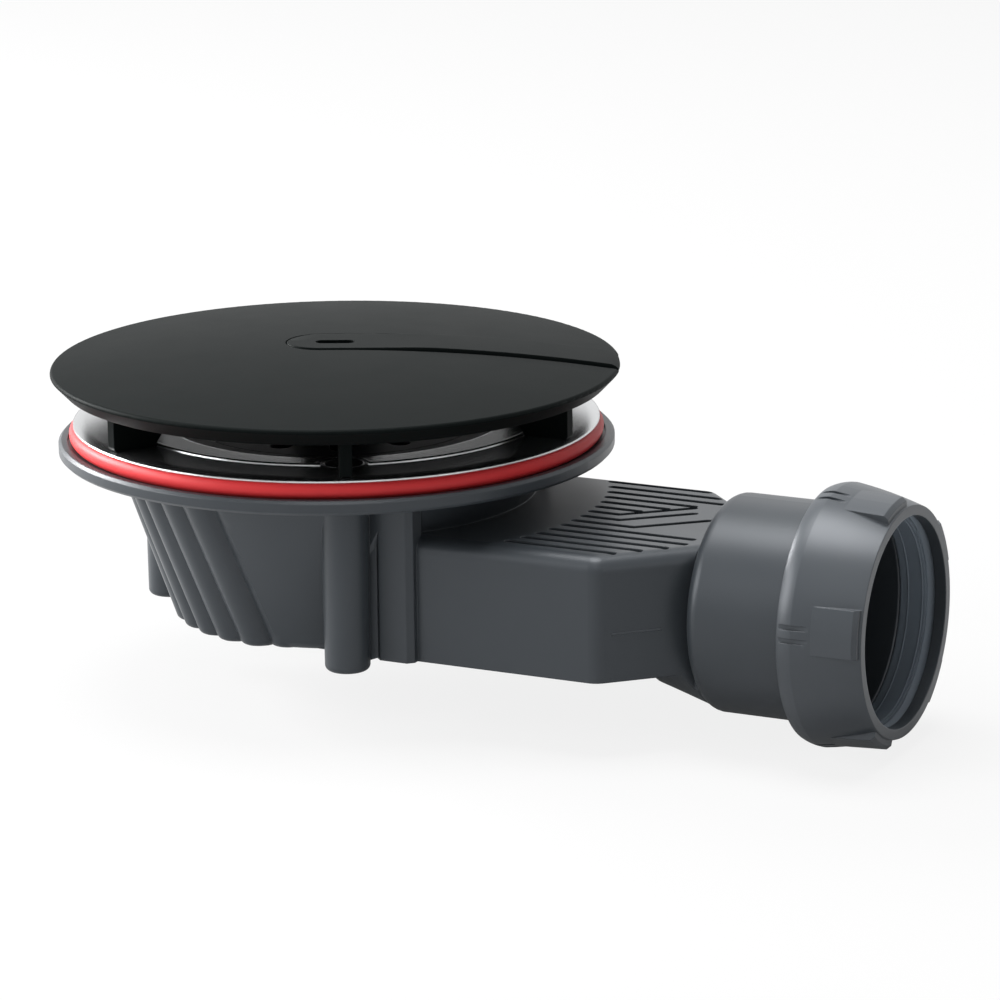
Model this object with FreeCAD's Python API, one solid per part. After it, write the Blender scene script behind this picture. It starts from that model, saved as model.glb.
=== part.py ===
import FreeCAD
import Part
import math
import os

from FreeCAD import Vector

# Low shower drain for a 90 mm tray hole, with a horizontal outlet for a 40 mm pipe.
# Millimetres. The origin is on the drain axis at the top of the body flange, +X runs along
# the outlet and +Z is up.

# Body flange and the seal seat in its top
flange_radius = 56.2
flange_thickness = 2.9
flange_edge = 0.6
seat_depth = 0.5
seat_margin = 0.3

# Tray seal
seal_radius = 54.0
seal_width = 7.4
seal_height = 3.4
seal_bulge = 1.4

# Dish pressed from sheet
dish_radius = 53.2
dish_sheet = 0.8
dish_roll = 2.4
dish_edge = 0.3
dish_fold_radius = 42.9
dish_fall = 0.5
dish_well_radius = 34.3
dish_ledge_depth = 4.0
throat_radius = 29.5
throat_length = 9.0

# Screws that clamp the dish to the body, and the posts that take them
screw_count = 3
screw_circle = 39.8
screw_first_angle = 60.0
screw_head_radius = 3.9
screw_head_height = 2.0
screw_radius = 2.0
screw_length = 22.0
screw_clearance = 0.15
screw_slot_width = 1.0
screw_slot_depth = 0.8
dimple_margin = 0.7
post_top_radius = 4.8
post_foot_radius = 4.5
post_depth = 38.4
post_foot_edge = 1.2

# Bowl with slanted half-round flutes round its back
bowl_top_radius = 43.4
bowl_foot_radius = 31.9
bowl_depth = 36.8
bowl_wall = 2.4
bowl_foot_edge = 1.4
flute_count = 8
flute_pitch = 10.0
flute_spread = 1.15
flute_proud = 1.3
flute_sink = 0.9
flute_border_sink = 0.1
flute_border_overlap = 1.5
flute_top_radius = 4.6
flute_foot_radius = 4.0

# Outlet box with a grooved deck
box_half_width = 29.4
box_deck_depth = 11.5
box_floor_depth = 36.6
box_wall = 2.4
box_shoulder_x = 71.5
box_end_x = 86.0
box_end_half_width = 14.9
box_deck_edge = 3.2
box_corner_edge = 4.0
weir_depth = 22.5
weir_half_width = 23.0
column_start_x = 25.7
column_length = 7.1
column_proud = 2.4
column_lead = 3.0
column_edge = 1.2
groove_count = 14
groove_pitch = 3.83
groove_first_across = 25.85
groove_width = 1.7
groove_depth = 1.2
groove_arc_radius = 55.7
groove_inset = 4.4
groove_end_inset = 3.4
groove_bent_first = 6
groove_bend_runs = (6.0, 7.7, 12.8)
groove_bend_angle = 42.0
groove_arm = 15.5
groove_gap = 1.8

# Outlet socket, its screw spigot and the pipe stop
outlet_depth = 25.7
socket_radius = 21.7
socket_start_x = 86.4
socket_edge = 2.6
socket_bore_radius = 18.8
funnel_start_x = 66.0
funnel_start_radius = 10.4
funnel_bend_x = 75.4
funnel_bend_radius = 17.6
funnel_end_radius = 20.7
spigot_start_x = 108.4
spigot_length = 8.0
spigot_radius = 22.6
pipe_radius = 20.0
pipe_clearance = 0.2
pipe_stop_x = 100.0
seal_cone_depth = 2.2
seal_cone_flare = 1.4

# Cone seal, slip ring and compression nut
cone_seal_length = 5.8
cone_seal_clearance = 0.1
slip_ring_length = 1.7
slip_ring_flare = 1.1
nut_length = 16.6
nut_radius = 26.0
nut_rear_radius = 25.2
nut_crown = 3.2
nut_bow = 0.3
nut_mouth_radius = 22.9
nut_bore_radius = 20.9
nut_lip = 2.4
nut_clearance = 0.3
lug_count = 5
lug_width = 9.5
lug_length = 12.0
lug_rear_radius = 25.5
lug_front_radius = 24.9
lug_edge = 0.8
lug_setback = 0.4
lug_lead_angle = 2.3
lug_groove_angle = 6.0
lug_groove_width = 0.9
lug_groove_depth = 0.6
lug_groove_spacing = 2.6
lug_groove_length = 9.0

# Trap insert: dip tube, its ring seal and the hair strainer
insert_clearance = 0.3
collar_height = 3.2
tube_radius = 27.4
tube_wall = 1.8
tube_foot_depth = 29.0
rib_height = 1.1
ring_seal_depth = 6.0
ring_seal_fit = 0.1
strainer_thickness = 1.8
strainer_slot_count = 12
strainer_slot_width = 4.2
strainer_slot_inner = 12.5
strainer_rim = 3.4
hub_wall = 1.6
hub_above = 2.6
hub_below = 8.0

# Cover
cover_radius = 57.5
cover_rim_height = 3.4
cover_rim_taper = 2.6
cover_edge = 0.8
cover_dome_rise = 4.4
cover_wall = 2.0
cover_skirt_wall = 2.4
inlet_gap = 7.2
cover_turn = 25.0
channel_width = 15.0
channel_back = 10.0
channel_depth = 0.9
slot_length = 8.0
slot_width = 3.0
fin_count = 6
fin_first_angle = 0.0
fin_thickness = 2.4
fin_inner_radius = 40.4
fin_edge_gap = 0.9
fin_corner = 0.8
fin_heel_run = 2.6
fin_heel_rise = 3.6
stem_radius = 7.0
stem_wall = 1.6
stem_reach = 9.0
stem_clearance = 0.3

# Levels and places that follow from the sizes above
seat_level = -seat_depth
dish_under = seat_level + seal_height
dish_top = dish_under + dish_sheet
dish_inner_top = dish_top - dish_fall
seal_bore = seal_radius - seal_width
ledge_level = dish_inner_top - dish_ledge_depth
throat_foot = ledge_level - throat_length
collar_top = ledge_level + collar_height
rim_foot = dish_top + inlet_gap
rim_top = rim_foot + cover_rim_height
dome_top = rim_top + cover_dome_rise
dome_curve = (cover_radius ** 2 + cover_dome_rise ** 2) / (2 * cover_dome_rise)
hub_radius = stem_radius + stem_clearance
hub_top = collar_top + hub_above
stem_foot = hub_top - stem_reach
outlet_axis = -outlet_depth
bore_radius = pipe_radius + pipe_clearance
spigot_end_x = spigot_start_x + spigot_length
cone_seal_end_x = spigot_end_x - seal_cone_depth + cone_seal_length
slip_ring_end_x = cone_seal_end_x + slip_ring_length
nut_end_x = slip_ring_end_x + nut_lip
nut_start_x = nut_end_x - nut_length
column_face = box_half_width + column_proud
post_angles = [screw_first_angle + 360.0 * i / screw_count for i in range(screw_count)]

up = Vector(0, 0, 1)
along = Vector(1, 0, 0)
origin = Vector(0, 0, 0)
same_place = 1e-3


def outline(start, *steps):
    # Closed face in the XZ plane. A step is a corner (x, z) or an arc (middle, end).
    edges = []
    here = Vector(start[0], 0, start[1])
    for step in steps + (start,):
        curved = isinstance(step[0], tuple)
        corners = [Vector(p[0], 0, p[1]) for p in (step if curved else (step,))]
        there = corners[-1]
        if curved:
            edges.append(Part.Arc(here, corners[0], there).toShape())
        elif here.distanceToPoint(there) > same_place:
            edges.append(Part.LineSegment(here, there).toShape())
        here = there
    return Part.Face(Part.Wire(edges))


def turned(start, *steps):
    # Solid of revolution about the drain axis from a (radius, height) outline.
    return outline(start, *steps).revolve(origin, up, 360)


def turned_outlet(*points):
    # Solid of revolution about the outlet axis from an (x, radius) outline.
    lifted = []
    for point in points:
        if isinstance(point[0], tuple):
            lifted.append(tuple((x, radius + outlet_axis) for x, radius in point))
        else:
            lifted.append((point[0], point[1] + outlet_axis))
    return outline(*lifted).revolve(Vector(0, 0, outlet_axis), along, 360)


def arc_corner(corner, radius, turn):
    # Middle of a quarter round that replaces a square corner; turn points into the corner.
    reach = radius * (1 - math.sqrt(0.5))
    return (corner[0] - turn[0] * reach, corner[1] - turn[1] * reach)


def stadium(start_x, end_x, width, foot, height):
    # Upright prism with round ends, centred on the X axis.
    half = width / 2
    corners = [Vector(start_x, -half, foot), Vector(end_x, -half, foot)]
    corners += [Vector(end_x, half, foot), Vector(start_x, half, foot)]
    ends = [Vector(end_x + half, 0, foot), Vector(start_x - half, 0, foot)]
    edges = [Part.LineSegment(corners[0], corners[1]).toShape()]
    edges.append(Part.Arc(corners[1], ends[0], corners[2]).toShape())
    edges.append(Part.LineSegment(corners[2], corners[3]).toShape())
    edges.append(Part.Arc(corners[3], ends[1], corners[0]).toShape())
    return Part.Face(Part.Wire(edges)).extrude(Vector(0, 0, height))


def prism(points, foot, height):
    corners = [Vector(x, y, foot) for x, y in points]
    return Part.Face(Part.makePolygon(corners + corners[:1])).extrude(Vector(0, 0, height))


def spun(shape, angle):
    # Copy turned about the drain axis.
    copy = shape.copy()
    copy.rotate(origin, up, angle)
    return copy


def spun_outlet(shape, angle):
    # Copy turned about the outlet axis.
    copy = shape.copy()
    copy.rotate(Vector(0, 0, outlet_axis), along, angle)
    return copy


def polar(radius, angle, height):
    turn = math.radians(angle)
    return Vector(radius * math.cos(turn), radius * math.sin(turn), height)


def joined(shapes):
    return shapes[0].multiFuse(shapes[1:]).removeSplitter()


def dome_level(radius):
    # Height of the dome's upper face at a radius.
    return dome_top - dome_curve + math.sqrt(dome_curve ** 2 - radius ** 2)


def dome_arc(radius, lowered):
    # Arc from a radius of the dome to its crown, lowered by a wall or a recess.
    return ((radius / 2, dome_level(radius / 2) - lowered), (0, dome_top - lowered))


def domed(radius, lowered, foot):
    # Solid under the dome out to a radius, down to a level foot.
    return turned((0, foot), (radius, foot), (radius, dome_level(radius) - lowered),
                  dome_arc(radius, lowered))


def make_cover():
    rim_radius = cover_radius - cover_rim_taper
    edge_radius = cover_radius - cover_edge
    edge_level = dome_level(edge_radius)
    edge_middle = arc_corner((cover_radius, edge_level), cover_edge, (1, 1))
    shell = turned((0, rim_foot), (rim_radius, rim_foot), (cover_radius, edge_level - cover_edge),
                   (edge_middle, (edge_radius, edge_level)), dome_arc(edge_radius, 0))
    shell = shell.cut(domed(rim_radius - cover_skirt_wall, cover_wall, rim_foot))
    # The seam of the revolved shell lies opposite the channel.
    shell = spun(shell, 180)

    fin_outer_radius = dish_radius - fin_edge_gap
    fin_round = arc_corner((fin_outer_radius, dish_top), fin_corner, (1, -1))
    fin_face = outline((fin_inner_radius + fin_heel_run, dish_top),
                       (fin_outer_radius - fin_corner, dish_top),
                       (fin_round, (fin_outer_radius, dish_top + fin_corner)),
                       (fin_outer_radius, dome_top), (fin_inner_radius, dome_top),
                       (fin_inner_radius, dish_top + fin_heel_rise))
    fin = fin_face.extrude(Vector(0, fin_thickness, 0))
    fin.translate(Vector(0, -fin_thickness / 2, 0))
    stem_height = dome_top - stem_foot
    stem = Part.makeCylinder(stem_radius, stem_height, Vector(0, 0, stem_foot))
    stem = stem.cut(Part.makeCylinder(stem_radius - stem_wall, stem_height, Vector(0, 0, stem_foot)))
    first_turn = fin_first_angle - cover_turn
    inner_parts = [spun(fin, first_turn + 360.0 * i / fin_count) for i in range(fin_count)] + [stem]
    below_dome = domed(cover_radius, cover_wall / 2, stem_foot)
    cover = joined([shell] + [part.common(below_dome) for part in inner_parts])

    half_slot = (slot_length - slot_width) / 2
    slot = stadium(-half_slot, half_slot, slot_width, rim_foot, dome_top)
    half_channel = channel_width / 2
    channel = stadium(half_channel - channel_back, cover_radius + channel_width, channel_width,
                      dish_top, dome_top)
    dome_centre = Vector(0, 0, dome_top - dome_curve)
    channel = channel.cut(Part.makeSphere(dome_curve - channel_depth, dome_centre))
    return spun(cover.cut(channel).cut(slot), cover_turn)


def make_strainer():
    radius = throat_radius - insert_clearance
    foot = collar_top - strainer_thickness
    plate = Part.makeCylinder(radius, strainer_thickness, Vector(0, 0, foot))
    hub_foot = Vector(0, 0, collar_top - hub_below)
    hub_length = hub_above + hub_below
    plate = joined([plate, Part.makeCylinder(hub_radius + hub_wall, hub_length, hub_foot)])
    plate = plate.cut(Part.makeCylinder(hub_radius, hub_length, hub_foot))
    half = strainer_slot_width / 2
    slot = stadium(strainer_slot_inner + half, radius - strainer_rim - half, strainer_slot_width,
                   foot, strainer_thickness)
    for i in range(strainer_slot_count):
        plate = plate.cut(spun(slot, 360.0 * i / strainer_slot_count))
    return plate


def make_dip_tube():
    collar_radius = dish_well_radius - dish_sheet - insert_clearance
    recess_radius = throat_radius
    recess_foot = collar_top - strainer_thickness
    inner_radius = tube_radius - tube_wall
    tube = turned((inner_radius, -tube_foot_depth), (tube_radius, -tube_foot_depth),
                  (tube_radius, ledge_level), (collar_radius, ledge_level),
                  (collar_radius, collar_top), (recess_radius, collar_top),
                  (recess_radius, recess_foot), (inner_radius, recess_foot))
    ring_half = (throat_radius - ring_seal_fit - tube_radius) / 2
    ring_level = ledge_level - ring_seal_depth
    rib_radius = throat_radius - insert_clearance
    rib_root = tube_radius - tube_wall / 2
    ribs = []
    for rib_foot in (ring_level + ring_half, ring_level - ring_half - rib_height):
        rib_top = rib_foot + rib_height
        ribs.append(turned((rib_root, rib_foot), (rib_radius, rib_foot), (rib_radius, rib_top),
                           (rib_root, rib_top)))
    return joined([tube] + ribs)


def make_ring_seal():
    half = (throat_radius - ring_seal_fit - tube_radius) / 2
    return Part.makeTorus(tube_radius + half, half, Vector(0, 0, ledge_level - ring_seal_depth), up)


def screw_head_level():
    # Height of the pressed sheet's upper face at the screw circle.
    share = (dish_fold_radius - screw_circle) / (dish_fold_radius - dish_well_radius)
    return dish_top - dish_fall * share


def make_dish():
    well = dish_well_radius - dish_sheet
    # The rim rolls down from the flat lip, and inside the fold the sheet falls to the well.
    roll_start = dish_radius - dish_roll
    roll_fall = dish_sheet - dish_edge
    roll_curve = (dish_roll ** 2 + roll_fall ** 2) / (2 * roll_fall)
    half_turn = math.asin(dish_roll / roll_curve) / 2
    roll_middle = (roll_start + roll_curve * math.sin(half_turn),
                   dish_top - roll_curve * (1 - math.cos(half_turn)))
    throat_outer = throat_radius + dish_sheet
    dish = turned((dish_radius, dish_under), (dish_radius, dish_under + dish_edge),
                  (roll_middle, (roll_start, dish_top)), (dish_fold_radius, dish_top),
                  (dish_well_radius, dish_inner_top), (well, ledge_level + dish_sheet),
                  (well, ledge_level), (throat_radius, ledge_level), (throat_radius, throat_foot),
                  (throat_outer, throat_foot), (throat_outer, ledge_level - dish_sheet),
                  (dish_well_radius, ledge_level - dish_sheet),
                  (dish_well_radius + dish_sheet, dish_inner_top - dish_sheet),
                  (dish_fold_radius, dish_under))
    level = screw_head_level()
    head = screw_head_radius + dimple_margin
    shank = screw_radius + screw_clearance
    for angle in post_angles:
        place = polar(screw_circle, angle, level - screw_head_height - dish_sheet)
        cup_height = screw_head_height + dish_sheet
        dish = dish.fuse(Part.makeCone(shank + dish_sheet, head + dish_sheet, cup_height, place, up))
    for angle in post_angles:
        place = polar(screw_circle, angle, level - screw_head_height)
        dish = dish.cut(Part.makeCone(shank + dimple_margin, head, screw_head_height, place, up))
        dish = dish.cut(Part.makeCylinder(shank, 4 * dish_sheet, place - up * 3 * dish_sheet, up))
        dish = dish.cut(Part.makeCylinder(head, dish_sheet, polar(screw_circle, angle, level), up))
    return dish.removeSplitter()


def make_screws():
    screws = []
    head_foot = screw_head_level() - screw_head_height
    for angle in post_angles:
        foot = polar(screw_circle, angle, head_foot - screw_length)
        place = polar(screw_circle, angle, head_foot)
        shank = Part.makeCylinder(screw_radius, screw_length, foot, up)
        cone_height = screw_head_height - screw_clearance
        head = Part.makeCone(screw_radius, screw_head_radius, cone_height, place, up)
        head.translate(up * screw_clearance)
        neck = Part.makeCylinder(screw_radius, screw_clearance, place, up)
        slot_foot = head_foot + screw_head_height - screw_slot_depth
        span = 2 * screw_head_radius
        slot = Part.makeBox(span, screw_slot_width, screw_slot_depth,
                            Vector(screw_circle - span / 2, -screw_slot_width / 2, slot_foot))
        screws.append(joined([shank, neck, head]).cut(spun(slot, angle)))
    return Part.makeCompound(screws)


def make_tray_seal():
    middle = seat_level + seal_height / 2
    return turned((seal_bore, seat_level), (seal_radius - seal_bulge, seat_level),
                  ((seal_radius, middle), (seal_radius - seal_bulge, dish_under)),
                  (seal_bore, dish_under))


def bowl_radius(level, top_radius, foot_radius):
    # Radius of the tapering bowl at a level.
    share = (-flange_thickness - level) / (bowl_depth - flange_thickness)
    return top_radius + (foot_radius - top_radius) * share


def bowl_cup(offset):
    # Tapering cup with a rounded foot, its wall moved outwards by an offset.
    top_radius = bowl_top_radius + offset
    foot_radius = bowl_foot_radius + offset
    edge_level = bowl_foot_edge - bowl_depth
    edge_radius = bowl_radius(edge_level, top_radius, foot_radius)
    edge_middle = arc_corner((foot_radius, -bowl_depth), bowl_foot_edge, (1, -1))
    return turned((0, -bowl_depth), (foot_radius - bowl_foot_edge, -bowl_depth),
                  (edge_middle, (edge_radius, edge_level)),
                  (top_radius, -flange_thickness), (0, -flange_thickness))


def make_flute(offset, proud):
    # Slanted half-round lobe an angle away from the back of the bowl, with a rounded foot.
    head = polar(bowl_top_radius + proud - flute_top_radius, 180 + offset, -flange_thickness)
    tail = polar(bowl_foot_radius + proud - flute_foot_radius, 180 + offset * flute_spread, -bowl_depth)
    run = tail - head
    # Both ends run on past the levels that trim them.
    extra = flute_top_radius / run.Length
    growth = (flute_top_radius - flute_foot_radius) * extra
    lobe = Part.makeCone(flute_top_radius + growth, flute_foot_radius - growth,
                         run.Length * (1 + 2 * extra))
    # The seam of the lobe faces the drain axis.
    inwards = polar(-1, 180 + offset, 0)
    turn = FreeCAD.Rotation(inwards, Vector(), run, "ZXY")
    lobe.Placement = FreeCAD.Placement(head - run * extra, turn)
    slab_height = bowl_depth - flange_thickness / 2
    lobe = lobe.common(Part.makeCylinder(flange_radius, slab_height, Vector(0, 0, -bowl_depth)))
    foot_edges = [edge for edge in lobe.Edges if edge.BoundBox.ZMax < bowl_foot_edge - bowl_depth]
    return lobe.makeFillet(bowl_foot_edge, foot_edges)


def bowl_front():
    # Plain front of the bowl, from the slanted crest of the last lobe on one side to the other.
    crest = flute_pitch * (flute_count + 0.5) - flute_border_overlap
    top_x = polar(bowl_top_radius, 180 + crest, 0).x
    foot_x = polar(bowl_foot_radius, 180 + crest * flute_spread, 0).x
    ahead = outline((top_x, -flange_thickness), (foot_x, -bowl_depth), (flange_radius, -bowl_depth),
                    (flange_radius, -flange_thickness))
    ahead.translate(Vector(0, -flange_radius, 0))
    return bowl_cup(0).common(ahead.extrude(Vector(0, 2 * flange_radius, 0)))


def bowl_hollow():
    foot = box_wall - bowl_depth
    top = bowl_top_radius - bowl_wall
    foot_radius = bowl_radius(foot, bowl_top_radius, bowl_foot_radius) - bowl_wall
    return turned((0, foot), (foot_radius, foot), (top, -flange_thickness), (top, seal_height),
                  (0, seal_height))


def make_bowl():
    # The cup and its lobes are hollowed one by one before they are joined.
    hollow = bowl_hollow()
    bowl = bowl_cup(-flute_sink).fuse(bowl_front()).cut(hollow)
    for side in (1, -1):
        for i in range(flute_count + 1):
            proud = flute_proud if i < flute_count else -flute_border_sink
            lobe = make_flute(side * flute_pitch * (i + 0.5), proud)
            bowl = bowl.fuse(lobe.cut(hollow))
    return bowl


def box_plan(shoulder_x, half_width, end_x, end_half_width):
    # Plan of the box, with its chamfered end.
    points = [(0, -half_width), (shoulder_x, -half_width), (end_x, -end_half_width)]
    return points + [(x, -y) for x, y in reversed(points)]


def make_box():
    plan = box_plan(box_shoulder_x, box_half_width, box_end_x, box_end_half_width)
    box = prism(plan, -box_floor_depth, box_floor_depth - box_deck_depth)
    corners = []
    for edge in box.Edges:
        upright = edge.BoundBox.ZLength > box_wall
        if upright and abs(edge.CenterOfMass.x - box_shoulder_x) < same_place:
            corners.append(edge)
    box = box.makeFillet(box_corner_edge, corners)
    rims = []
    for edge in box.Edges:
        on_deck = edge.BoundBox.ZMin > -box_deck_depth - same_place
        if on_deck and same_place < edge.CenterOfMass.x < box_end_x - same_place:
            rims.append(edge)
    return box.makeFillet(box_deck_edge, rims)


def groove_end(across):
    # Where a straight groove stops short of the deck's chamfered edge.
    fall = (box_end_x - box_shoulder_x) / (box_half_width - box_end_half_width)
    slanted = box_shoulder_x + (box_half_width - abs(across)) * fall
    return min(slanted - groove_inset, box_end_x - groove_end_inset)


def make_grooves():
    # Parallel grooves from an arc about the drain axis; some bend off towards the far edge,
    # and the ones beyond the first bent groove stop short of it.
    foot = -box_deck_depth - groove_depth
    height = 2 * groove_depth
    acrosses = [groove_first_across - groove_pitch * i for i in range(groove_count)]
    starts = [math.sqrt(groove_arc_radius ** 2 - across ** 2) for across in acrosses]
    ends = [groove_end(across) for across in acrosses]
    grooves = []
    slope = math.tan(math.radians(groove_bend_angle))
    for i, run in enumerate(groove_bend_runs):
        bent = groove_bent_first + i
        ends[bent] = starts[bent] + run
        arm = stadium(0, groove_arm, groove_width, foot, height)
        arm.rotate(origin, up, groove_bend_angle)
        arm.translate(Vector(ends[bent], acrosses[bent], 0))
        grooves.append(arm)
    for i in range(groove_bent_first):
        first_arm = ends[groove_bent_first] + (acrosses[i] - acrosses[groove_bent_first]) / slope
        ends[i] = min(ends[i], first_arm - groove_gap)
    for start, end, across in zip(starts, ends, acrosses):
        straight = stadium(start, end, groove_width, foot, height)
        straight.translate(Vector(0, across, 0))
        grooves.append(straight)
    return grooves


def make_socket():
    edge = socket_edge
    edge_middle = arc_corner((socket_start_x, socket_radius), edge, (-1, 1))
    return turned_outlet((socket_start_x, 0), (socket_start_x, socket_radius - edge),
                         (edge_middle, (socket_start_x + edge, socket_radius)),
                         (spigot_start_x, socket_radius), (spigot_start_x, spigot_radius),
                         (spigot_end_x, spigot_radius), (spigot_end_x, 0))


def make_funnel(inset, top):
    # Widening throat from the box to the socket, kept inside the plan of the box and below a level.
    wall_x = socket_start_x + socket_edge
    cone = turned_outlet((funnel_start_x, 0), (funnel_start_x, funnel_start_radius - inset),
                         (funnel_bend_x, funnel_bend_radius - inset),
                         (socket_start_x, funnel_end_radius - inset),
                         (wall_x, funnel_end_radius - inset), (wall_x, 0))
    half_width = box_half_width - inset
    end_half_width = box_end_half_width - inset
    foot = outlet_axis - socket_radius
    plan = prism(box_plan(box_shoulder_x, half_width, box_end_x, end_half_width), foot, top - foot)
    neck = prism(box_plan(box_shoulder_x, end_half_width, wall_x, end_half_width), foot, top - foot)
    return cone.common(plan.fuse(neck))


def make_flange():
    edge = flange_edge
    inner = bowl_top_radius - bowl_wall
    seat_inner = seal_bore - seat_margin
    seat_outer = seal_radius + seat_margin
    return turned((inner, -flange_thickness), (flange_radius - edge, -flange_thickness),
                  (flange_radius, edge - flange_thickness), (flange_radius, -edge),
                  (flange_radius - edge, 0), (seat_outer, 0), (seat_outer, seat_level),
                  (seat_inner, seat_level), (seat_inner, 0), (inner, 0))


def make_posts():
    posts = []
    level = screw_head_level() - screw_head_height - dish_sheet
    for angle in post_angles:
        foot_middle = arc_corner((post_foot_radius, -post_depth), post_foot_edge, (1, -1))
        post = turned((0, -post_depth), (post_foot_radius - post_foot_edge, -post_depth),
                      (foot_middle, (post_foot_radius, post_foot_edge - post_depth)),
                      (post_top_radius, level), (0, level))
        post.translate(polar(screw_circle, angle, 0))
        posts.append(post)
    return posts


def make_columns():
    # Flat columns on both sides of the box, each with a notch that runs out in the post beside it.
    columns = []
    post = polar(screw_circle, screw_first_angle, 0)
    end_x = column_start_x + column_length
    inner = box_half_width - box_wall
    points = [(post.x, inner), (end_x, inner), (end_x, column_face - column_edge)]
    points += [(end_x - column_edge, column_face), (column_start_x, column_face)]
    points += [(column_start_x - column_lead, column_face - column_lead), (post.x, post.y)]
    for side in (1, -1):
        plan = [(x, side * y) for x, y in points]
        columns.append(prism(plan, -box_floor_depth, box_floor_depth - flange_thickness))
    return columns


def column_flats():
    # Where the bowl would stand out beyond the flat faces of the columns.
    post_x = polar(screw_circle, screw_first_angle, 0).x
    flats = []
    for side in (1, -1):
        plan = [(post_x, side * column_face), (flange_radius, side * column_face)]
        plan += [(flange_radius, side * flange_radius), (post_x, side * flange_radius)]
        flats.append(prism(plan, -bowl_depth, bowl_depth - flange_thickness))
    return flats


def box_hollow():
    narrow = box_end_half_width - box_wall / 2
    foot = box_wall - box_floor_depth
    top = -box_deck_depth - box_wall
    plan = box_plan(box_shoulder_x - box_wall / 2, box_half_width - box_wall,
                    box_end_x - box_wall, narrow)
    duct_plan = box_plan(box_shoulder_x, narrow, socket_start_x + socket_edge, narrow)
    chamber = prism(plan, foot, top - foot).fuse(prism(duct_plan, foot, top - foot))
    bowl_outer = turned((0, foot), (bowl_radius(foot, bowl_top_radius, bowl_foot_radius), foot),
                        (bowl_top_radius, -flange_thickness), (0, -flange_thickness))
    window = Part.makeBox(box_shoulder_x, 2 * weir_half_width, weir_depth + top,
                          Vector(0, -weir_half_width, -weir_depth))
    return chamber.cut(bowl_outer).fuse(window)


def socket_hollow():
    wall = socket_start_x + socket_edge
    return turned_outlet((wall, 0), (wall, socket_bore_radius), (pipe_stop_x, socket_bore_radius),
                         (pipe_stop_x, bore_radius), (spigot_end_x - seal_cone_depth, bore_radius),
                         (spigot_end_x, bore_radius + seal_cone_flare), (spigot_end_x, 0))


def make_body():
    deck_foot = -box_deck_depth - box_deck_edge
    outlet = joined([make_box().cut(bowl_hollow()), make_funnel(0, deck_foot), make_socket()])
    shell = make_bowl().fuse(outlet)
    for hollow in (box_hollow(), make_funnel(box_wall, deck_foot), socket_hollow()):
        shell = shell.cut(hollow)
    for flat in column_flats():
        shell = shell.cut(flat)
    body = joined([shell, make_flange()] + make_columns() + make_posts())
    pilot_top = screw_head_level()
    for angle in post_angles:
        foot = polar(screw_circle, angle, pilot_top - screw_length - 2 * screw_head_height)
        body = body.cut(Part.makeCylinder(screw_radius + screw_clearance, pilot_top - foot.z, foot, up))
    for groove in make_grooves():
        body = body.cut(groove)
    return body


def make_cone_seal():
    start = spigot_end_x - seal_cone_depth * (1 - 2 * cone_seal_clearance / seal_cone_flare)
    inner = bore_radius + cone_seal_clearance
    outer = bore_radius + seal_cone_flare - cone_seal_clearance
    return turned_outlet((start, inner), (spigot_end_x, outer), (cone_seal_end_x, outer),
                         (cone_seal_end_x, inner))


def make_slip_ring():
    mouth = nut_bore_radius + slip_ring_flare
    return turned_outlet((cone_seal_end_x, nut_bore_radius), (cone_seal_end_x, spigot_radius),
                         (slip_ring_end_x, spigot_radius), (slip_ring_end_x, mouth))


def make_nut():
    thread = spigot_radius + nut_clearance
    crown_x = nut_start_x + nut_crown
    rear_middle = (nut_start_x + nut_crown / 2, nut_radius - (nut_radius - nut_rear_radius) / 4)
    front_middle = ((crown_x + nut_end_x) / 2, (nut_radius + nut_mouth_radius) / 2 + nut_bow)
    nut = turned_outlet((nut_start_x, thread), (nut_start_x, nut_rear_radius),
                        (rear_middle, (crown_x, nut_radius)),
                        (front_middle, (nut_end_x, nut_mouth_radius)),
                        (nut_end_x, nut_bore_radius), (slip_ring_end_x, nut_bore_radius),
                        (slip_ring_end_x, thread))
    lug_end = nut_end_x - lug_setback
    lug_start = lug_end - lug_length
    lug = Part.makeBox(lug_length, lug_width, nut_radius, Vector(lug_start, -lug_width / 2, outlet_axis))
    sleeve = turned_outlet((lug_start, thread), (lug_start, lug_rear_radius),
                           (lug_end - lug_edge, lug_front_radius),
                           (lug_end, lug_front_radius - lug_edge),
                           (lug_end, nut_bore_radius), (slip_ring_end_x, nut_bore_radius),
                           (slip_ring_end_x, thread))
    lug = lug.common(sleeve)
    turns = [90 - lug_groove_angle + 360.0 * i / lug_count for i in range(lug_count)]
    nut = joined([nut] + [spun_outlet(lug, turn - lug_lead_angle) for turn in turns])
    groove_foot = outlet_axis + nut_radius - lug_groove_depth
    for turn in turns:
        for side in (1, -1):
            across = side * lug_groove_spacing / 2 - lug_groove_width / 2
            place = Vector(nut_start_x, across, groove_foot)
            groove = Part.makeBox(lug_groove_length, lug_groove_width, nut_radius, place)
            nut = nut.cut(spun_outlet(groove, turn))
    return nut


pieces = {
    "cover": make_cover(),
    "hair_strainer": make_strainer(),
    "dip_tube": make_dip_tube(),
    "dip_tube_ring": make_ring_seal(),
    "dish_flange": make_dish(),
    "flange_screws": make_screws(),
    "tray_seal": make_tray_seal(),
    "trap_body": make_body(),
    "cone_seal": make_cone_seal(),
    "slip_ring": make_slip_ring(),
    "compression_nut": make_nut(),
}

os.makedirs("parts", exist_ok=True)
for name, shape in pieces.items():
    shape.exportStep("parts/" + name + ".step")
    print(name, len(shape.Solids), "solids, valid", shape.isValid(), "volume", round(shape.Volume))
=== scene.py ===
import math

import bmesh
import bpy
from mathutils import Matrix, Vector


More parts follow.
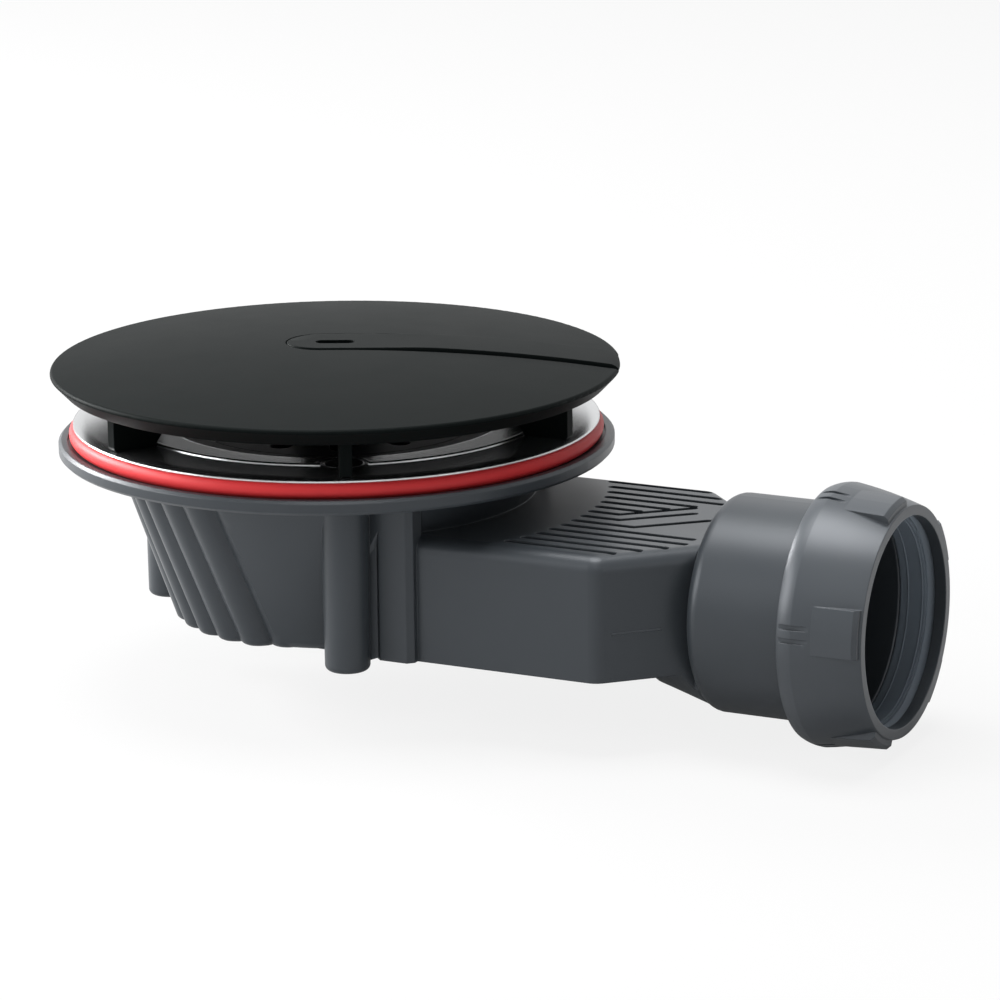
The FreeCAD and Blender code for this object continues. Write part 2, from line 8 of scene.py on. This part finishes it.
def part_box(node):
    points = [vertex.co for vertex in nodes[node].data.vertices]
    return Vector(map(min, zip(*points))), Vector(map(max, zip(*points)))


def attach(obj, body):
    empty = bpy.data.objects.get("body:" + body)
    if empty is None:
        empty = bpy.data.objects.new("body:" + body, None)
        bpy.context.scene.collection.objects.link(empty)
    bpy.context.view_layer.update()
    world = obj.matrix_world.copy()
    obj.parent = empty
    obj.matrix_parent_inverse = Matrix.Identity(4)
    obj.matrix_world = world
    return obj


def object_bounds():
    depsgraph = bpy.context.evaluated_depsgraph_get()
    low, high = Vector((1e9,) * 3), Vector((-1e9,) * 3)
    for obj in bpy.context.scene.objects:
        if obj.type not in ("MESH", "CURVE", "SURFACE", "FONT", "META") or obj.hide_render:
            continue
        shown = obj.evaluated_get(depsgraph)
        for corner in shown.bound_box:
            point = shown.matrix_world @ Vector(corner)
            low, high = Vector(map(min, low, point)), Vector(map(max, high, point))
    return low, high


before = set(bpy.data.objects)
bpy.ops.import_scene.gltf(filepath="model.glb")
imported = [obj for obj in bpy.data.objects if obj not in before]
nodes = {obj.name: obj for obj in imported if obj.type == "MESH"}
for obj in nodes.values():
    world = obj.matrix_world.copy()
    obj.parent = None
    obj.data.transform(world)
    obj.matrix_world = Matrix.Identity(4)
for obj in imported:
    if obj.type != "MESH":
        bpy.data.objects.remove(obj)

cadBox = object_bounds()
mm = 0.001  # metres in a millimetre: the pieces' dictionaries are in millimetres and degrees
print("frame loaded:", len(nodes), "nodes")


class Wire:  # one socket, with arithmetic that adds Math nodes
    def __init__(self, shop, socket):
        self.shop = shop
        self.socket = socket

    def maths(self, operation, first, second):
        return self.shop.node("ShaderNodeMath", {"operation": operation}, {0: first, 1: second})

    def __add__(self, other):
        return self.maths("ADD", self, other)

    def __sub__(self, other):
        return self.maths("SUBTRACT", self, other)

    def __rsub__(self, other):
        return self.maths("SUBTRACT", other, self)

    def __mul__(self, other):
        return self.maths("MULTIPLY", self, other)

    __radd__ = __add__
    __rmul__ = __mul__


class Shop:  # the nodes of one material or world
    def __init__(self, tree):
        self.tree = tree
        tree.nodes.clear()

    def node(self, kind, settings=None, sockets=None, out=0):
        made = self.tree.nodes.new(kind)
        for key, value in (settings or {}).items():
            if key == "stops":
                self.setStops(made.color_ramp, value)
            else:
                setattr(made, key, value)
        for key, value in (sockets or {}).items():
            if isinstance(value, Wire):
                self.tree.links.new(value.socket, made.inputs[key])
            else:
                made.inputs[key].default_value = value
        return Wire(self, made.outputs[out]) if made.outputs else None

    def setStops(self, ramp, stops):
        while len(ramp.elements) < len(stops):
            ramp.elements.new(0.5)
        for element, (place, colour) in zip(ramp.elements, stops):
            element.position = place
            element.color = colour


def newMaterial(name):
    material = bpy.data.materials.new(name)
    material.use_nodes = True
    return material, Shop(material.node_tree)


def noise(shop, place, scale, detail):
    return shop.node("ShaderNodeTexNoise", {}, {"Vector": place, "Scale": scale, "Detail": detail})


def tint(shop, mask, dark, light):
    return shop.node("ShaderNodeMix", {"data_type": "RGBA"}, {
        "Factor": mask, 6: (*dark, 1), 7: (*light, 1)}, out=2)


def moulded(name, look):  # satin plastic or rubber: fine grain, faint flow mottling, soft edges
    material, shop = newMaterial(name)
    place = shop.node("ShaderNodeTexCoord", out=3)
    mottle = noise(shop, place, look["mottleScale"], 3.0)
    grain = noise(shop, place, look["grainScale"], 1.0)
    soft = shop.node("ShaderNodeBevel", {"samples": look["edgeSamples"]}, {"Radius": look["edge"] * mm})
    bump = shop.node("ShaderNodeBump", {}, {
        "Strength": look["bump"], "Distance": look["grainDepth"] * mm, "Height": grain, "Normal": soft})
    colour = tint(shop, mottle, look["dark"], look["light"])
    calm = look["rough"] - look["roughSpread"] / 2
    shine = mottle * look["roughSpread"] + grain * look["roughGrain"] + calm
    surface = shop.node("ShaderNodeBsdfPrincipled", {}, {
        "Base Color": colour, "Roughness": shine, "Normal": bump,
        "Specular IOR Level": look["specular"], "Specular Tint": look["highlightTint"], "IOR": look["ior"]})
    shop.node("ShaderNodeOutputMaterial", {}, {"Surface": surface})
    return material


def polished(name, look):  # bright sheet metal with faint turning marks round the drain axis
    material, shop = newMaterial(name)
    place = shop.node("ShaderNodeTexCoord", out=3)
    parts = shop.node("ShaderNodeSeparateXYZ", {}, {"Vector": place})
    flat = shop.node("ShaderNodeCombineXYZ", {}, {
        "X": parts, "Y": Wire(shop, parts.socket.node.outputs[1])})
    reach = shop.node("ShaderNodeVectorMath", {"operation": "LENGTH"}, {0: flat}, out=1)
    rings = shop.node("ShaderNodeTexNoise", {"noise_dimensions": "1D"}, {
        "W": reach, "Scale": look["ringScale"], "Detail": 2.0})
    smear = noise(shop, place, look["smearScale"], 3.0)
    soft = shop.node("ShaderNodeBevel", {"samples": look["edgeSamples"]}, {"Radius": look["edge"] * mm})
    bump = shop.node("ShaderNodeBump", {}, {
        "Strength": look["bump"], "Distance": look["ringDepth"] * mm, "Height": rings, "Normal": soft})
    shine = smear * look["roughSpread"] + look["rough"]
    surface = shop.node("ShaderNodeBsdfPrincipled", {}, {
        "Base Color": tint(shop, smear, look["dark"], look["light"]), "Metallic": 1.0,
        "Roughness": shine, "Normal": bump})
    shop.node("ShaderNodeOutputMaterial", {}, {"Surface": surface})
    return material


plasticBase = {"mottleScale": 90, "grainScale": 5200, "bump": 0.25, "grainDepth": 0.02, "edge": 0.35,
               "edgeSamples": 4, "roughSpread": 0.06, "roughGrain": 0.05, "specular": 0.3,
               "highlightTint": (1, 1, 1, 1), "ior": 1.49}  # grain and edges in millimetres
plastics = {
    "coverPlastic": {"dark": (0.0028, 0.0039, 0.0039), "light": (0.0036, 0.0049, 0.0049),
                     "rough": 0.46, "specular": 0.034, "highlightTint": (0.88, 1.0, 0.97, 1)},
    # body and nut plastics: the blue lean of the colours is partly the plastic's own slate grey and partly
    # painted cool light; their cool highlight tint is a painted cool highlight
    "bodyPlastic": {"dark": (0.031, 0.037, 0.043), "light": (0.037, 0.043, 0.049),
                    "rough": 0.35, "specular": 0.45, "highlightTint": (0.92, 0.95, 1.0, 1)},
    # the nut is moulded from the same plastic as the body; its colours here are painted about 30% lighter,
    # painted light standing in for the light the nut catches
    "nutPlasticPaintedLighter": {"dark": (0.040, 0.047, 0.054), "light": (0.047, 0.054, 0.062),
                   "rough": 0.33, "specular": 0.55, "highlightTint": (0.92, 0.95, 1.0, 1)},
    "insertPlastic": {"dark": (0.014, 0.015, 0.016), "light": (0.018, 0.019, 0.020), "rough": 0.4},
    "redRubber": {"dark": (0.70, 0.034, 0.040), "light": (0.80, 0.044, 0.048), "rough": 0.45},
    "greyRubber": {"dark": (0.17, 0.205, 0.245), "light": (0.20, 0.235, 0.275), "rough": 0.45},
    "ringPlastic": {"dark": (0.17, 0.205, 0.245), "light": (0.20, 0.235, 0.275), "rough": 0.4},
    "blackRubber": {"dark": (0.012, 0.012, 0.012), "light": (0.018, 0.018, 0.018), "rough": 0.55},
}
metals = {
    "polishedSteel": {"ringScale": 2600, "smearScale": 60, "edge": 0.6, "bump": 0.03, "ringDepth": 0.01,
                      "edgeSamples": 6, "rough": 0.2, "roughSpread": 0.06,
                      "dark": (0.62, 0.63, 0.64), "light": (0.70, 0.71, 0.72)},
    "screwSteel": {"ringScale": 4000, "smearScale": 200, "edge": 0.15, "bump": 0.05, "ringDepth": 0.01,
                   "edgeSamples": 6, "rough": 0.2, "roughSpread": 0.08,
                   "dark": (0.52, 0.52, 0.53), "light": (0.6, 0.6, 0.61)},
}
finishes = {name: moulded(name, {**plasticBase, **look}) for name, look in plastics.items()}
finishes.update({name: polished(name, look) for name, look in metals.items()})
nodeFinish = {"cover": "coverPlastic", "trap_body": "bodyPlastic", "compression_nut": "nutPlasticPaintedLighter",
              "slip_ring": "ringPlastic", "hair_strainer": "insertPlastic", "dip_tube": "insertPlastic",
              "dip_tube_ring": "blackRubber", "tray_seal": "redRubber", "cone_seal": "greyRubber",
              "dish_flange": "polishedSteel", "flange_screws": "screwSteel"}
for nodeName, finish in nodeFinish.items():
    nodes[nodeName].data.materials.clear()
    nodes[nodeName].data.materials.append(finishes[finish])
print("finishes set on", len(nodeFinish), "nodes")


sharpFrom = math.radians(35)  # steeper edges than this stay crisp


def fitPiece(name, shape, finish, body):  # a finished bmesh in millimetres becomes a piece on a body
    bmesh.ops.scale(shape, vec=(mm, mm, mm), verts=shape.verts)
    bmesh.ops.recalc_face_normals(shape, faces=shape.faces)
    for face in shape.faces:
        face.smooth = True
    for edge in shape.edges:
        edge.smooth = edge.calc_face_angle(0) < sharpFrom
    mesh = bpy.data.meshes.new(name)
    shape.to_mesh(mesh)
    shape.free()
    mesh.materials.append(finishes[finish])
    piece = bpy.data.objects.new(name, mesh)
    bpy.context.scene.collection.objects.link(piece)
    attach(piece, body)
    print(name, "made with", len(mesh.polygons), "faces")


def pushOut(shape, edges):  # extrude open edges and give back the new edges and points
    made = bmesh.ops.extrude_edge_only(shape, edges=edges)["geom"]
    return ([item for item in made if isinstance(item, bmesh.types.BMEdge)],
            [item for item in made if isinstance(item, bmesh.types.BMVert)])


def standRing(shape, segments, radius):  # a circle stood up in the XZ plane: its points and its edges
    ring = bmesh.ops.create_circle(shape, segments=segments, radius=radius)["verts"]
    upright = Matrix.Rotation(math.radians(90), 3, "X")
    bmesh.ops.rotate(shape, cent=(0, 0, 0), matrix=upright, verts=ring)
    return ring, list(dict.fromkeys(edge for vert in ring for edge in vert.link_edges))


def capEnds(shape):  # close what is still open
    bmesh.ops.edgenet_fill(shape, edges=[edge for edge in shape.edges if edge.is_boundary])


def mirrorAcross(shape):  # the same again on the other side of the outlet
    everything = list(shape.verts) + list(shape.edges) + list(shape.faces)
    bmesh.ops.mirror(shape, geom=everything, axis="Y", merge_dist=0)


tongue = {"turn": 25, "slotHalf": 2.5, "slotRadius": 1.45, "slotDepth": 1.6, "roundEnd": 7.1,
          "farHalf": 6.6, "nearHalf": 5.6, "farFill": 0.85, "nearFlare": 0.3, "rise": 0.4, "sunk": 0.95,
          "lastReach": 55.9, "tuck": 1.8, "wall": 0.25, "rows": 12, "segments": 48, "slotRings": (0.4, 1.0),
          "coverRadius": 57.5, "domeTop": 18.7, "domeRise": 4.4, "edgeReach": 56.7,
          "lip": ((56.7, 0.15), (57.25, -0.4), (57.35, -0.85), (56.4, -1.6))}


def makeTongue(setting):  # raised tongue from behind the slot to the edge of the dome
    tie = 0.001  # sends points on the middle line forwards
    curve = (setting["coverRadius"] ** 2 + setting["domeRise"] ** 2) / (2 * setting["domeRise"])
    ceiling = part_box("cover")[1][2] / mm

    def dome(x, y):
        return setting["domeTop"] - curve + math.sqrt(curve ** 2 - x * x - y * y)

    shape = bmesh.new()
    bmesh.ops.create_circle(shape, segments=setting["segments"], radius=setting["slotRadius"])
    bearing = shape.verts.layers.float.new("bearing")
    for vert in shape.verts:
        vert[bearing] = math.atan2(vert.co.y, vert.co.x)
        vert.co.x += math.copysign(setting["slotHalf"], vert.co.x + tie)
    slotRim = list(shape.edges)
    edges = slotRim
    for share in setting["slotRings"]:  # rings round the slot
        edges, rim = pushOut(shape, edges)
        for vert in rim:
            ahead, aside = math.cos(vert[bearing]), math.sin(vert[bearing])
            half = setting["farHalf"] if aside > 0 else setting["nearHalf"]
            wide = setting["slotRadius"] + (half - setting["slotRadius"]) * share
            long = setting["slotRadius"] + (setting["roundEnd"] - setting["slotRadius"]) * share
            vert.co.x = math.copysign(setting["slotHalf"], ahead + tie) + ahead * long
            vert.co.y = aside * wide
    edges = [edge for edge in edges if all(math.cos(vert[bearing]) > -tie for vert in edge.verts)]
    for row in range(setting["rows"]):  # then straight on to the edge of the cover
        edges, rim = pushOut(shape, edges)
        for vert in rim:
            last = math.sqrt(setting["lastReach"] ** 2 - vert.co.y ** 2)
            vert.co.x += (last - vert.co.x) / (setting["rows"] - row)
    for vert in shape.verts:
        vert.co.z = min(dome(vert.co.x, vert.co.y) + setting["rise"], ceiling)
    for reach, lift in setting["lip"]:  # and over the rolled edge
        edges, rim = pushOut(shape, edges)
        for vert in rim:
            vert.co.x = math.sqrt(reach ** 2 - vert.co.y ** 2)
            vert.co.z = dome(setting["edgeReach"], 0) + lift

    sides = [edge for edge in shape.edges if edge.is_boundary and edge not in slotRim and edge not in edges]
    edges, rim = pushOut(shape, sides)
    for vert in rim:
        if vert.co.x < -setting["slotHalf"]:
            near = 0.5 - 0.5 * math.sin(vert[bearing])
            way = Vector((math.cos(vert[bearing]), math.sin(vert[bearing]), 0))
        else:
            near = 1.0 if vert.co.y < 0 else 0.0
            way = Vector((0, 1 - 2 * near, 0))
        vert.co += way * (setting["nearFlare"] * near + setting["farFill"] * (1 - near))
        vert.co.z = min(dome(vert.co.x, vert.co.y) - setting["sunk"] * near, vert.co.z)
    for vert in pushOut(shape, edges)[1]:
        vert.co.z -= setting["sunk"]
        if math.hypot(vert.co.x, vert.co.y) > setting["lastReach"]:
            vert.co.x -= setting["tuck"]  # under the rolled edge it stays inside the rim
    for vert in pushOut(shape, slotRim)[1]:
        vert.co.z -= setting["slotDepth"]
    bmesh.ops.recalc_face_normals(shape, faces=shape.faces)  # before the sheet gets its wall
    bmesh.ops.solidify(shape, geom=list(shape.faces), thickness=setting["wall"])
    turn = Matrix.Rotation(math.radians(setting["turn"]), 3, "Z")
    bmesh.ops.rotate(shape, cent=(0, 0, 0), matrix=turn, verts=shape.verts)
    fitPiece("coverTongue", shape, "coverPlastic", "cover")


bead = {"radius": 42.2, "halfWidth": 0.55, "height": 0.45, "level": 3.68, "count": 3, "firstScrew": 60,
        "gap": 6.2, "steps": 48, "segments": 12}


def makeBead(setting):  # bead along the fold of the dish, broken at the screw dimples
    shape = bmesh.new()
    step = 360 / setting["count"]
    for index in range(setting["count"]):
        ring, rim = standRing(shape, setting["segments"], 1.0)
        bmesh.ops.scale(shape, vec=(setting["halfWidth"], 1, setting["height"]), verts=ring)
        bmesh.ops.translate(shape, vec=(setting["radius"], 0, setting["level"]), verts=ring)
        start = math.radians(setting["firstScrew"] + step * index + setting["gap"])
        bmesh.ops.rotate(shape, cent=(0, 0, 0), matrix=Matrix.Rotation(start, 3, "Z"), verts=ring)
        bmesh.ops.spin(shape, geom=ring + rim, cent=(0, 0, 0), axis=(0, 0, 1), steps=setting["steps"],
                       angle=math.radians(step - 2 * setting["gap"]))
    capEnds(shape)
    fitPiece("dishBead", shape, "polishedSteel", "body")


thread = {"start": 109.4, "turns": 2, "pitch": 3.0, "root": 22.45, "crest": 22.78, "halfFoot": 0.95,
          "halfCrest": 0.3, "axisLevel": -25.7, "stepsPerTurn": 72}


def makeThread(setting):  # screw thread on the spigot, seen when the nut is backed off
    shape = bmesh.new()
    profile = []
    for side, radius in (("halfFoot", "root"), ("halfCrest", "crest")):
        profile.append((-setting[side], setting[radius]))
    profile += [(-along, radius) for along, radius in reversed(profile)]
    ring = [shape.verts.new((setting["start"] + along, 0, setting["axisLevel"] + radius))
            for along, radius in profile]
    rim = [shape.edges.new((ring[index - 1], ring[index])) for index in range(len(ring))]
    steps = setting["turns"] * setting["stepsPerTurn"]
    advance = setting["pitch"] / setting["stepsPerTurn"]
    bmesh.ops.spin(shape, geom=ring + rim, cent=(0, 0, setting["axisLevel"]), axis=(1, 0, 0), steps=steps,
                   angle=2 * math.pi * setting["turns"], dvec=(advance, 0, 0))
    capEnds(shape)
    fitPiece("spigotThread", shape, "bodyPlastic", "body")


lips = {"places": (116.3, 119.3), "bore": 20.3, "radius": 0.2, "sunk": 0.05, "axisLevel": -25.7,
        "segments": 10, "steps": 120}


def makeLips(setting):  # fine lips round the bore of the cone seal
    shape = bmesh.new()
    for place in setting["places"]:
        ring, rim = standRing(shape, setting["segments"], setting["radius"])
        height = setting["axisLevel"] + setting["bore"] + setting["sunk"]
        bmesh.ops.translate(shape, vec=(place, 0, height), verts=ring)
        bmesh.ops.spin(shape, geom=ring + rim, cent=(0, 0, setting["axisLevel"]), axis=(1, 0, 0),
                       steps=setting["steps"], angle=2 * math.pi, use_merge=True)
    fitPiece("sealLips", shape, "greyRubber", "body")


ridge = {"cornerFrom": (71.5, -29.4), "cornerTo": (86.0, -14.9), "from": 0.16, "to": 0.66, "level": -26.9,
         "radius": 0.3, "sunk": 0.14, "segments": 8}


def makeRidges(setting):  # short parting ridge on each slanted face of the outlet box
    shape = bmesh.new()
    first, last = Vector((*setting["cornerFrom"], 0)), Vector((*setting["cornerTo"], 0))
    along = last - first
    outwards = Vector((along.y, -along.x, 0)).normalized()
    ring = bmesh.ops.create_circle(shape, segments=setting["segments"], radius=setting["radius"])["verts"]
    bmesh.ops.rotate(shape, cent=(0, 0, 0), matrix=along.to_track_quat("Z", "Y").to_matrix(), verts=ring)
    start = first + along * setting["from"] - outwards * setting["sunk"] + Vector((0, 0, setting["level"]))
    bmesh.ops.translate(shape, vec=start, verts=ring)
    rim = pushOut(shape, list(shape.edges))[1]
    bmesh.ops.translate(shape, vec=along * (setting["to"] - setting["from"]), verts=rim)
    capEnds(shape)
    mirrorAcross(shape)
    fitPiece("partingRidges", shape, "bodyPlastic", "body")


web = {"plan": ((22.4, -31.6), (25.2, -30.9), (23.3, -29.2), (21.6, -30.6)), "top": -2.6, "postFoot": -37.4,
       "columnFoot": -36.4, "columnFrom": 23.0, "edge": 0.3, "segments": 2}


def makeWebs(setting):  # web that closes the notch between each side post and its column
    shape = bmesh.new()
    cap = shape.faces.new([shape.verts.new((x, y, setting["top"])) for x, y in setting["plan"]])
    made = bmesh.ops.extrude_face_region(shape, geom=[cap])["geom"]
    foot = [item for item in made if isinstance(item, bmesh.types.BMVert)]
    for vert in foot:
        vert.co.z = setting["columnFoot"] if vert.co.x > setting["columnFrom"] else setting["postFoot"]
    capEnds(shape)
    rim = [edge for edge in shape.edges if all(vert in foot for vert in edge.verts)]
    bmesh.ops.bevel(shape, geom=rim, offset=setting["edge"], offset_type="OFFSET", affect="EDGES",
                    segments=setting["segments"], profile=0.5, material=-1)
    mirrorAcross(shape)
    fitPiece("postWebs", shape, "bodyPlastic", "body")


makeTongue(tongue)
makeBead(bead)
makeThread(thread)
makeLips(lips)
makeRidges(ridge)
makeWebs(web)


stageSet = {"floorDrop": 0.0006, "floorSize": 12.0,  # metres
            "floorPale": 0.6, "floorSeen": 0.85, "floorMirrored": 0.1,
            "skyFill": 0.05, "skySeen": 1.0}


def seenRay(shop, seen, mirrored):  # shares of white for the camera and for mirrored or see-through rays
    path = shop.node("ShaderNodeLightPath").socket.node.outputs
    camera, glossy, through = (Wire(shop, path[key]) for key in ("Is Camera Ray", "Is Glossy Ray",
                                                                 "Is Transmission Ray"))
    return shop.node("ShaderNodeClamp", {}, {"Value": camera * seen + (glossy + through) * mirrored})


def makeFloor(setting):
    shape = bmesh.new()
    bmesh.ops.create_grid(shape, x_segments=1, y_segments=1, size=setting["floorSize"] / 2)
    level = cadBox[0][2] - setting["floorDrop"]
    bmesh.ops.translate(shape, vec=(0, 0, level), verts=shape.verts)
    mesh = bpy.data.meshes.new("floor")
    shape.to_mesh(mesh)
    shape.free()
    floor = bpy.data.objects.new("floor", mesh)
    bpy.context.scene.collection.objects.link(floor)
    material, shop = newMaterial("paleFloor")
    pale = setting["floorPale"]
    paint = shop.node("ShaderNodeBsdfDiffuse", {}, {"Color": (pale, pale, pale, 1)})
    glow = shop.node("ShaderNodeEmission", {}, {"Color": (1, 1, 1, 1), "Strength": 1.0})
    share = seenRay(shop, setting["floorSeen"], setting["floorMirrored"])
    mixed = shop.node("ShaderNodeMixShader", {}, {0: share, 1: paint, 2: glow})
    shop.node("ShaderNodeOutputMaterial", {}, {"Surface": mixed})
    mesh.materials.append(material)


def makeSky(setting):
    world = bpy.data.worlds.new("studio")
    world.use_nodes = True
    bpy.context.scene.world = world
    shop = Shop(world.node_tree)
    soft = shop.node("ShaderNodeBackground", {}, {"Color": (1, 1, 1, 1), "Strength": setting["skyFill"]})
    white = shop.node("ShaderNodeBackground", {}, {"Color": (1, 1, 1, 1), "Strength": 1.0})
    share = seenRay(shop, setting["skySeen"], setting["skySeen"])
    mixed = shop.node("ShaderNodeMixShader", {}, {0: share, 1: soft, 2: white})
    shop.node("ShaderNodeOutputWorld", {}, {"Surface": mixed})


lamps = {  # angles in degrees round the drain, as the camera's
    "top": {"azimuth": -90, "elevation": 88, "distance": 1.1, "size": 0.7, "power": 11.0},
    "left": {"azimuth": -95, "elevation": 22, "distance": 1.1, "size": 0.5, "power": 18.0},
    "leftHigh": {"azimuth": -100, "elevation": 64, "distance": 1.1, "size": 0.6, "power": 2.5},
    "front": {"azimuth": -56, "elevation": 22, "distance": 1.1, "size": 0.7, "power": 8.0},
    "camera": {"azimuth": 24, "elevation": 40, "distance": 1.1, "size": 0.8, "power": 1.2},
    "right": {"azimuth": 75, "elevation": 15, "distance": 1.1, "size": 0.5, "power": 0.5},
    "rear": {"azimuth": 206, "elevation": 35, "distance": 1.1, "size": 0.5, "power": 0.3},
}
lampAim = (0.03, 0.0, -0.01)


def facing(azimuth, elevation):  # unit vector towards a lamp or the camera
    turn, rise = math.radians(azimuth), math.radians(elevation)
    return Vector((math.sin(turn) * math.cos(rise), -math.cos(turn) * math.cos(rise), math.sin(rise)))


def turnTo(direction):  # a lamp shines along its own -Z
    return direction.to_track_quat("-Z", "Y").to_matrix().to_4x4()


def makeLamps():
    for name, lamp in lamps.items():
        light = bpy.data.lights.new(name, "AREA")
        light.shape = "DISK"
        light.size = lamp["size"]
        light.energy = lamp["power"]
        holder = bpy.data.objects.new(name, light)
        way = facing(lamp["azimuth"], lamp["elevation"])
        place = Vector(lampAim) + way * lamp["distance"]
        holder.matrix_world = Matrix.Translation(place) @ turnTo(-way)
        bpy.context.scene.collection.objects.link(holder)


photoView = {"azimuth": 26.43, "elevation": 14.71, "roll": -0.68, "aim": (0, 0, 0.01592),
             "aimPixel": (335.4, 354.7), "distance": 1.077, "focalPixels": 5345, "imagePixels": 1000,
             "sensor": 36}


def makeCamera(view):
    turn, roll = math.radians(view["azimuth"]), math.radians(view["roll"])
    back = facing(view["azimuth"], view["elevation"])
    right = Vector((math.cos(turn), math.sin(turn), 0))
    up = back.cross(right)
    right, up = (right * math.cos(roll) + up * math.sin(roll), up * math.cos(roll) - right * math.sin(roll))
    pixel = view["distance"] / view["focalPixels"]  # metres across one pixel at the aim
    centre = view["imagePixels"] / 2
    across = (view["aimPixel"][0] - centre) * pixel
    above = (centre - view["aimPixel"][1]) * pixel
    place = Vector(view["aim"]) - right * across - up * above + back * view["distance"]
    lens = bpy.data.cameras.new("photoCamera")
    lens.sensor_width = view["sensor"]
    lens.lens = view["sensor"] * view["focalPixels"] / view["imagePixels"]
    camera = bpy.data.objects.new("photoCamera", lens)
    axes = Matrix((right, up, back)).transposed().to_4x4()
    camera.matrix_world = Matrix.Translation(place) @ axes
    bpy.context.scene.collection.objects.link(camera)
    bpy.context.scene.camera = camera


makeFloor(stageSet)
makeSky(stageSet)
makeLamps()
makeCamera(photoView)
bpy.context.scene.view_settings.view_transform = "Standard"
print("stage, lamps and camera ready")
